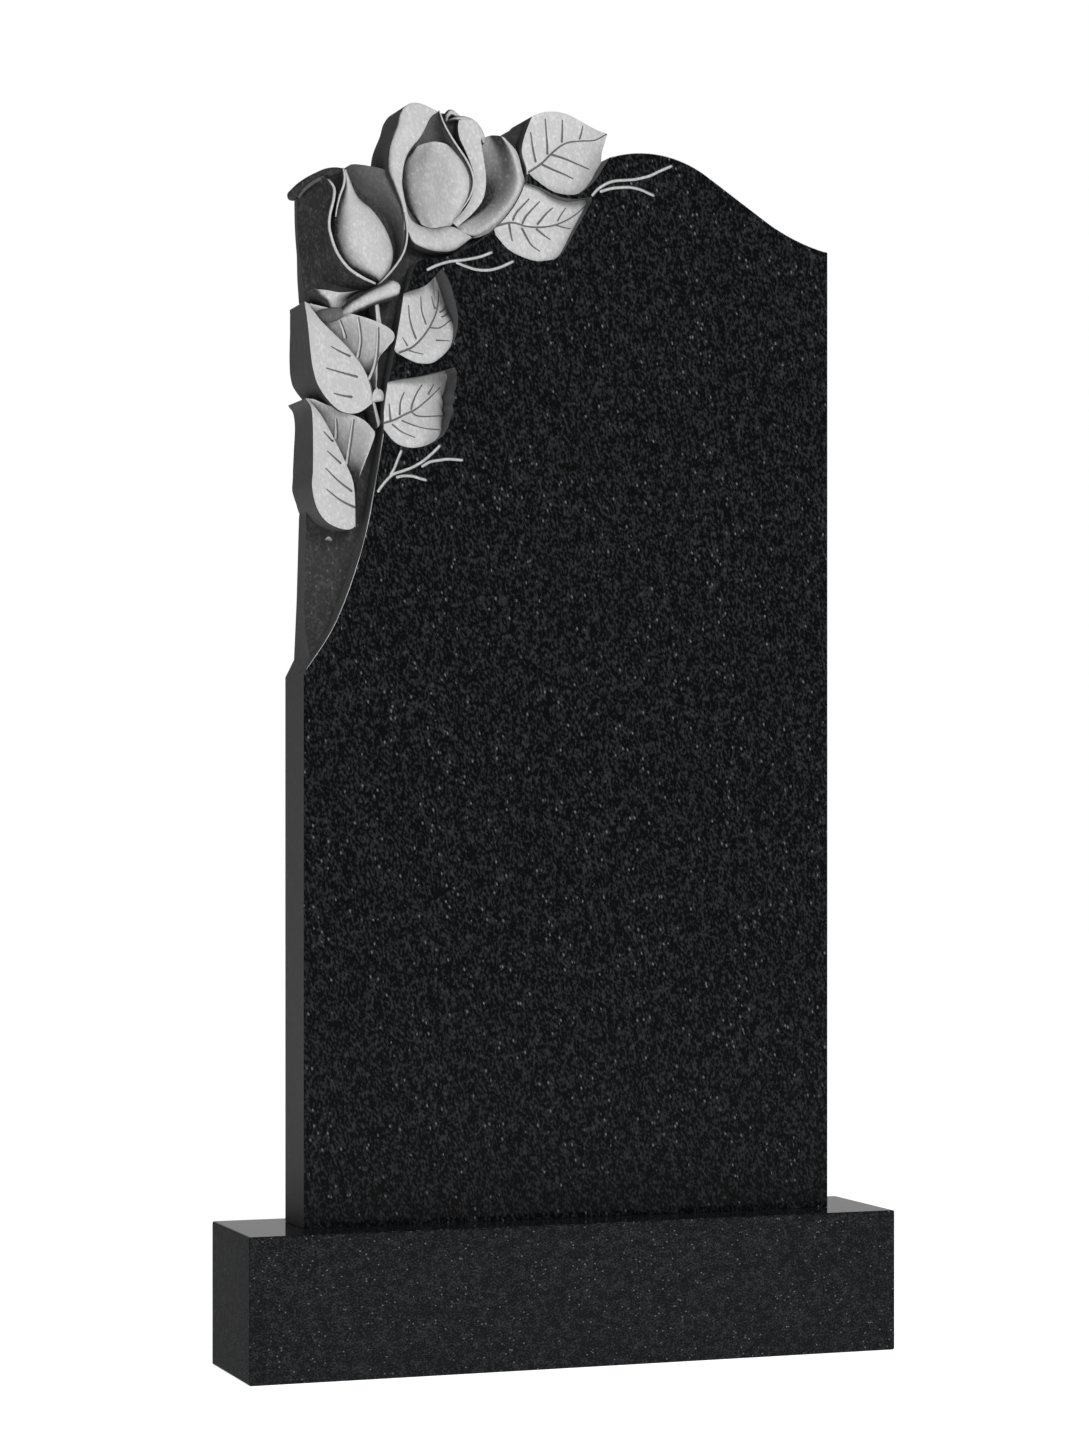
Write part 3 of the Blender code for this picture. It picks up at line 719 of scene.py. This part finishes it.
def granite_group():
    """Grains and patches of dark stone with light flecks in it, and fine grit, from object coordinates."""
    group = bpy.data.node_groups.new("granite grain", "ShaderNodeTree")
    face = group.interface
    for name, kind, value in (("Grain", "NodeSocketFloat", 300), ("Lean", "NodeSocketVector", (0, 0, 0)),
                              ("Stretch", "NodeSocketVector", (1, 1, 1)),
                              ("Dark", "NodeSocketColor", grey(5)), ("Light", "NodeSocketColor", grey(50)),
                              ("Fleck", "NodeSocketColor", grey(100)),
                              ("Fleck share", "NodeSocketFloat", 0.05)):
        face.new_socket(name=name, in_out="INPUT", socket_type=kind).default_value = value
    face.new_socket(name="Colour", in_out="OUTPUT", socket_type="NodeSocketColor")
    face.new_socket(name="Grit", in_out="OUTPUT", socket_type="NodeSocketFloat")
    link = group.links.new
    given = node(group, "NodeGroupInput", (-1200, 0))
    result = node(group, "NodeGroupOutput", (700, 0))

    # The stone leans and is stretched as it lay in its bed
    where = node(group, "ShaderNodeTexCoord", (-1200, 300))
    turned = node(group, "ShaderNodeMapping", (-1000, 200), vector_type="POINT")
    link(where.outputs["Object"], turned.inputs["Vector"])
    link(given.outputs["Lean"], turned.inputs["Rotation"])
    stretched = node(group, "ShaderNodeMapping", (-800, 200), vector_type="POINT")
    link(turned.outputs["Vector"], stretched.inputs["Vector"])
    link(given.outputs["Stretch"], stretched.inputs["Scale"])

    # Grains, and patches a few grains wide, choose between dark and light
    patch_scale = 0.3
    patch_weight = 0.4
    grains = node(group, "ShaderNodeTexNoise", (-600, 300), {"Detail": 2.0, "Roughness": 0.5})
    link(stretched.outputs["Vector"], grains.inputs["Vector"])
    link(given.outputs["Grain"], grains.inputs["Scale"])
    wide = node(group, "ShaderNodeMath", (-800, 550), {1: patch_scale}, operation="MULTIPLY")
    link(given.outputs["Grain"], wide.inputs[0])
    patches = node(group, "ShaderNodeTexNoise", (-600, 550), {"Detail": 1.0, "Roughness": 0.5})
    link(stretched.outputs["Vector"], patches.inputs["Vector"])
    link(wide.outputs["Value"], patches.inputs["Scale"])
    both = node(group, "ShaderNodeMath", (-500, 400), {1: patch_weight}, operation="MULTIPLY_ADD")
    link(patches.outputs["Fac"], both.inputs[0])
    link(grains.outputs["Fac"], both.inputs[2])
    tone = node(group, "ShaderNodeMapRange", (-400, 300), {"From Min": 0.65, "From Max": 1.0})
    link(both.outputs["Value"], tone.inputs["Value"])
    ground = node(group, "ShaderNodeMix", (-200, 200), data_type="RGBA")
    link(tone.outputs["Result"], ground.inputs["Factor"])
    link(given.outputs["Dark"], ground.inputs["A"])
    link(given.outputs["Light"], ground.inputs["B"])

    # A share of the cells between the grains is a fleck, faded towards its rim
    cells = node(group, "ShaderNodeTexVoronoi", (-600, -100), {"Randomness": 1.0})
    link(stretched.outputs["Vector"], cells.inputs["Vector"])
    link(given.outputs["Grain"], cells.inputs["Scale"])
    lot = node(group, "ShaderNodeSeparateColor", (-400, -50))
    link(cells.outputs["Color"], lot.inputs["Color"])
    chosen = node(group, "ShaderNodeMath", (-200, -50), operation="LESS_THAN")
    link(lot.outputs["Red"], chosen.inputs[0])
    link(given.outputs["Fleck share"], chosen.inputs[1])
    fading = node(group, "ShaderNodeMapRange", (-400, -250),
                  {"From Min": 0.55, "From Max": 0.15, "To Min": 0.0, "To Max": 1.0})
    link(cells.outputs["Distance"], fading.inputs["Value"])
    flecks = node(group, "ShaderNodeMath", (0, -100), operation="MULTIPLY")
    link(chosen.outputs["Value"], flecks.inputs[0])
    link(fading.outputs["Result"], flecks.inputs[1])
    colour = node(group, "ShaderNodeMix", (300, 100), data_type="RGBA")
    link(flecks.outputs["Value"], colour.inputs["Factor"])
    link(ground.outputs["Result"], colour.inputs["A"])
    link(given.outputs["Fleck"], colour.inputs["B"])
    link(colour.outputs["Result"], result.inputs["Colour"])

    # Fine grit, for the height of a blasted surface
    grit = node(group, "ShaderNodeTexNoise", (-600, -500), {"Scale": 900.0, "Detail": 3.0})
    link(where.outputs["Object"], grit.inputs["Vector"])
    link(grit.outputs["Fac"], result.inputs["Grit"])
    return group


def stone(name, group, roughness, gloss, dark, light, fleck, share, grain, lean, stretch, bump=0.0):
    """A granite finish made from the granite grain group with its own values."""
    material = bpy.data.materials.new(name)
    tree = tree_of(material)
    shader = tree.nodes["Principled BSDF"]
    shader.inputs["Roughness"].default_value = roughness
    shader.inputs["Specular IOR Level"].default_value = gloss
    grains = node(tree, "ShaderNodeGroup", (-400, 200), node_tree=group)
    grains.name = "grains"
    for socket, value in (("Grain", grain), ("Lean", lean), ("Stretch", stretch), ("Dark", dark),
                          ("Light", light), ("Fleck", fleck), ("Fleck share", share)):
        grains.inputs[socket].default_value = value
    tree.links.new(grains.outputs["Colour"], shader.inputs["Base Color"])
    if bump:
        height = node(tree, "ShaderNodeBump", (-200, -100), {"Strength": bump, "Distance": 0.0006})
        tree.links.new(grains.outputs["Grit"], height.inputs["Height"])
        tree.links.new(height.outputs["Normal"], shader.inputs["Normal"])
    return material


def carved_stone(name, group, **grains):
    """The carving: frosted light grey where it faces the lit side, with painted shade, a dark honed grey,
    where it turns away.
    """
    material = stone(name, group, roughness=0.8, gloss=0.2, dark=grey(178), light=grey(200), fleck=grey(204),
                     share=0.03, bump=0.25, **grains)
    tree = material.node_tree
    shader = tree.nodes["Principled BSDF"]
    frosted = tree.nodes["grains"]
    # Painted shade: a dark honed grey for the carving where it turns away from the lit side
    honed = node(tree, "ShaderNodeGroup", (-400, 500), node_tree=group)
    for socket in frosted.inputs:
        honed.inputs[socket.name].default_value = socket.default_value
    for socket, value in (("Dark", 50), ("Light", 82), ("Fleck", 96)):
        honed.inputs[socket].default_value = grey(value)
    # Painted shade by facing: the surface's normal against the lit side, blended smoothly from dark to light
    where = node(tree, "ShaderNodeTexCoord", (-1000, 800))
    turned = node(tree, "ShaderNodeVectorMath", (-800, 800), {1: PAINTED_LIGHT_FROM.normalized()},
                  operation="DOT_PRODUCT")
    tree.links.new(where.outputs["Normal"], turned.inputs[0])
    painted_light_share = node(tree, "ShaderNodeMapRange", (-600, 800), {"From Min": 0.5, "From Max": 0.94},
                   interpolation_type="SMOOTHSTEP")
    tree.links.new(turned.outputs["Value"], painted_light_share.inputs["Value"])
    mixed = node(tree, "ShaderNodeMix", (-150, 400), data_type="RGBA")
    tree.links.new(painted_light_share.outputs["Result"], mixed.inputs["Factor"])
    tree.links.new(honed.outputs["Colour"], mixed.inputs["A"])
    tree.links.new(frosted.outputs["Colour"], mixed.inputs["B"])
    tree.links.new(mixed.outputs["Result"], shader.inputs["Base Color"])
    return material


def camera():
    """The camera at the photograph's angle."""
    thing = bpy.data.objects.new("camera", bpy.data.cameras.new("camera"))
    bpy.context.scene.collection.objects.link(thing)
    thing.data.sensor_width = SENSOR
    thing.data.lens = LENS
    thing.data.shift_y = SHIFT_UP
    thing.location = CAMERA
    thing.rotation_euler = (math.pi / 2, 0, CAMERA_TURN)
    bpy.context.scene.camera = thing


def pale_floor():
    """A wide pale floor, lit so evenly that the stone's shadow hardly shows, and out of its reflections."""
    bm = bmesh.new()
    bmesh.ops.create_grid(bm, x_segments=1, y_segments=1, size=12)
    floor = finished("floor", bm)
    pale = bpy.data.materials.new("pale floor")
    shader = tree_of(pale).nodes["Principled BSDF"]
    shader.inputs["Base Color"].default_value = (0.8, 0.8, 0.8, 1)
    shader.inputs["Roughness"].default_value = 0.9
    shader.inputs["Specular IOR Level"].default_value = 0.1
    shader.inputs["Emission Color"].default_value = (1, 1, 1, 1)
    shader.inputs["Emission Strength"].default_value = 0.95
    floor.data.materials.append(pale)
    floor.visible_glossy = False


def glow(tree, towards, edges, strengths, at):
    """How strongly the room shines by direction: more towards one side, rising between two edges."""
    where = node(tree, "ShaderNodeTexCoord", (at[0] - 400, at[1]))
    turned = node(tree, "ShaderNodeVectorMath", (at[0] - 200, at[1]), {1: towards}, operation="DOT_PRODUCT")
    ramp = node(tree, "ShaderNodeMapRange", at, {"From Min": edges[0], "From Max": edges[1],
                                                 "To Min": strengths[0], "To Max": strengths[1]},
                interpolation_type="SMOOTHSTEP")
    tree.links.new(where.outputs["Generated"], turned.inputs[0])
    tree.links.new(turned.outputs["Value"], ramp.inputs["Value"])
    return ramp.outputs["Result"]


def pale_room():
    """A world that is bright behind the stone, dim before it and a little brighter below, and shows white."""
    world = bpy.data.worlds.new("studio")
    bpy.context.scene.world = world
    world.use_nodes = True
    tree = world.node_tree
    tree.nodes.clear()
    behind = glow(tree, towards=(0.34, 0.94, 0), edges=(0.8, 1.0), strengths=(0.14, 0.62), at=(-200, 0))
    below = glow(tree, towards=(0, -0.1, -1), edges=(0.1, 0.24), strengths=(0.0, 0.16), at=(-200, -300))
    both = node(tree, "ShaderNodeMath", (-100, 0), operation="ADD")
    tree.links.new(behind, both.inputs[0])
    tree.links.new(below, both.inputs[1])
    room = node(tree, "ShaderNodeBackground", (0, 100))
    tree.links.new(both.outputs["Value"], room.inputs["Strength"])
    shown = node(tree, "ShaderNodeBackground", (0, -100), {"Color": (1, 1, 1, 1), "Strength": 1.0})
    ray = node(tree, "ShaderNodeLightPath", (0, 400))
    mix = node(tree, "ShaderNodeMixShader", (300, 0))
    out = node(tree, "ShaderNodeOutputWorld", (600, 0))
    tree.links.new(ray.outputs["Is Camera Ray"], mix.inputs["Fac"])
    tree.links.new(room.outputs["Background"], mix.inputs[1])
    tree.links.new(shown.outputs["Background"], mix.inputs[2])
    tree.links.new(mix.outputs["Shader"], out.inputs["Surface"])


def key_light(at, towards, size, power):
    """A large soft round light that the polished faces don't mirror."""
    lamp = bpy.data.lights.new("key", "AREA")
    lamp.shape = "DISK"
    lamp.size = size
    lamp.energy = power
    thing = bpy.data.objects.new("key", lamp)
    bpy.context.scene.collection.objects.link(thing)
    thing.location = at
    thing.rotation_euler = (Vector(towards) - Vector(at)).to_track_quat("-Z", "Y").to_euler()
    thing.visible_glossy = False


granite = granite_group()
STELE_GRAIN = dict(group=granite, grain=400, lean=(0, math.radians(14), 0), stretch=(1, 1, 0.55))
polished = stone("polished granite", roughness=0.12, gloss=0.3, dark=polish(5), light=polish(52),
                 fleck=polish(102), share=0.025, **STELE_GRAIN)
sawn = stone("honed side", roughness=0.5, gloss=0.3, dark=grey(74), light=grey(86), fleck=grey(96),
             share=0.03, **STELE_GRAIN)
frosted = carved_stone("frosted carving with painted shade", **STELE_GRAIN)
# The hollow's own dark finish, which is also painted shade on the calyx, the curled lip and between the lips
scooped_and_painted_shade = stone("hollow", roughness=0.5, gloss=0.35, dark=grey(52), light=grey(80), fleck=grey(98),
                share=0.05, bump=0.2, **STELE_GRAIN)
blasted = stone("frosted leaf", roughness=0.8, gloss=0.2, dark=grey(180), light=grey(203), fleck=grey(208),
                share=0.03, bump=0.25, **STELE_GRAIN)
# The cut walls' own grey, which is also painted shade on the hood, the right outer petal, the fold of the lip
# and the hip's lobe
cut = stone("cut wall", roughness=0.6, gloss=0.2, dark=grey(88), light=grey(104), fleck=grey(112),
            share=0.03, **STELE_GRAIN)
# The veins' grooves: a darker grey, painted shade in the grooves
groove = stone("groove", roughness=0.8, gloss=0.2, dark=grey(104), light=grey(118), fleck=grey(122),
               share=0.03, **STELE_GRAIN)
block = stone("polished plinth", group=granite, roughness=0.1, gloss=0.15, dark=polish(22), light=polish(57),
              fleck=polish(112), share=0.025, grain=450, lean=(0, 0, 0), stretch=(1, 1, 1.2))

stele = carved_stele([polished, sawn, frosted, scooped_and_painted_shade, cut, blasted, groove])
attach(stele, "root")
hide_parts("stele")

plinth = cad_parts["plinth"]
plinth.data.materials.clear()
plinth.data.materials.append(block)

camera()
pale_floor()
pale_room()
key_light(at=(0.5, -3.8, 2.8), towards=(0, 0, 0.8), size=2.0, power=122)
bpy.context.scene.view_settings.view_transform = "Standard"
